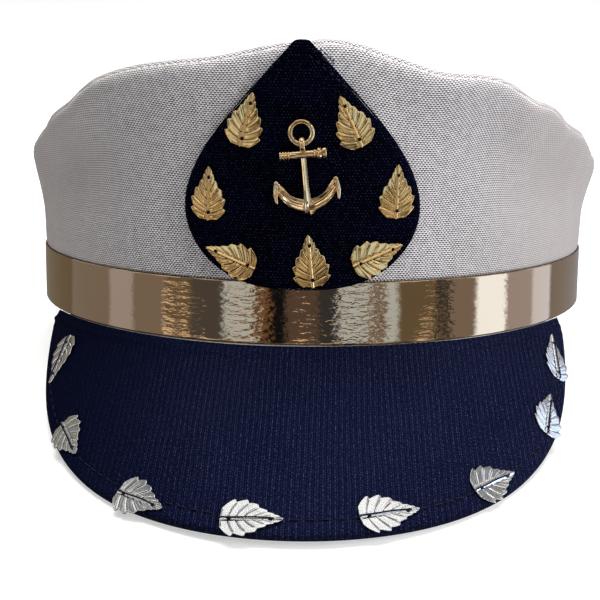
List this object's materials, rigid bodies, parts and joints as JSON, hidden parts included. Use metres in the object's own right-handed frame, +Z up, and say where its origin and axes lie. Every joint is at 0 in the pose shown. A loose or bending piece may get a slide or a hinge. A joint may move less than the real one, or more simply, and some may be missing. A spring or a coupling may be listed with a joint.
{
  "type": "military peaked cap",
  "caption": "Soft-topped peaked cap with a foil band, ribbed visor edged with stamped leaves, and a drop-shaped front badge carrying leaves and an anchor with a swinging ring.",
  "frame": {"origin": "centre of the bounding box's footprint, on the surface that the cap stands on", "axes": "-Y towards the front of the cap, +Z up, +X to the wearer's left; the band plane is tilted back by 9.2 degrees, because the cap stands on its visor"},
  "size_m": [0.181, 0.2574, 0.1109],
  "materials": {
    "crown_fabric": "matte plain-woven fabric, white to light grey",
    "lining_fabric": "thin matte cotton",
    "navy_rib_fabric": "ribbed navy fabric with a soft sheen",
    "visor_under_fabric": "smooth navy fabric",
    "badge_fabric": "fine dark navy mesh fabric",
    "felt": "pressed felt",
    "navy_thread": "twisted polyester thread",
    "gold_foil": "metallised mirror foil in champagne gold, finely wrinkled",
    "gold_leaf_metal": "stamped sheet, polished gold",
    "silver_leaf_metal": "stamped sheet, polished silver",
    "anchor_metal": "die casting with polished antique gold plating",
    "stiffener_plastic": "thin stiffening sheet",
    "sweatband_leathercloth": "black leathercloth"
  },
  "bodies": {
    "cap": {"anchor_casting": "anchor_metal", "anchor_washer_plate": "silver_leaf_metal", "badge_backing": "felt", "badge_board": "stiffener_plastic", "badge_cover": "badge_fabric", "badge_leaf_1": "gold_leaf_metal", "badge_leaf_2": "gold_leaf_metal", "badge_leaf_3": "gold_leaf_metal", "badge_leaf_4": "gold_leaf_metal", "badge_leaf_5": "gold_leaf_metal", "badge_leaf_6": "gold_leaf_metal", "badge_leaf_7": "gold_leaf_metal", "badge_leaf_knots": "navy_thread", "band_cover": "navy_rib_fabric", "crown_back_left_panel": "crown_fabric", "crown_back_right_panel": "crown_fabric", "crown_front_panel": "crown_fabric", "crown_lining_side": "lining_fabric", "crown_lining_top": "lining_fabric", "crown_seam_tape": "lining_fabric", "crown_top_panel": "crown_fabric", "front_stay": "stiffener_plastic", "gold_ribbon": "gold_foil", "headband_stiffener": "stiffener_plastic", "sweatband": "sweatband_leathercloth", "visor_board": "stiffener_plastic", "visor_leaf_1": "silver_leaf_metal", "visor_leaf_2": "silver_leaf_metal", "visor_leaf_3": "silver_leaf_metal", "visor_leaf_4": "silver_leaf_metal", "visor_leaf_5": "silver_leaf_metal", "visor_leaf_6": "silver_leaf_metal", "visor_leaf_7": "silver_leaf_metal", "visor_leaf_8": "silver_leaf_metal", "visor_leaf_threads": "navy_thread", "visor_seam_tape": "lining_fabric", "visor_top_cover": "navy_rib_fabric", "visor_topstitch": "navy_thread", "visor_under_cover": "visor_under_fabric"},
    "anchor_ring": {"anchor_ring": "anchor_metal"}
  },
  "joints": [
    {"name": "ring_swing", "type": "hinge", "parent": "cap", "child": "anchor_ring", "pos_m": [0.00033, -0.07591, 0.08562], "axis": [0.9951, 0.0067, 0.0991], "range_deg": [0, 150]}
  ]
}
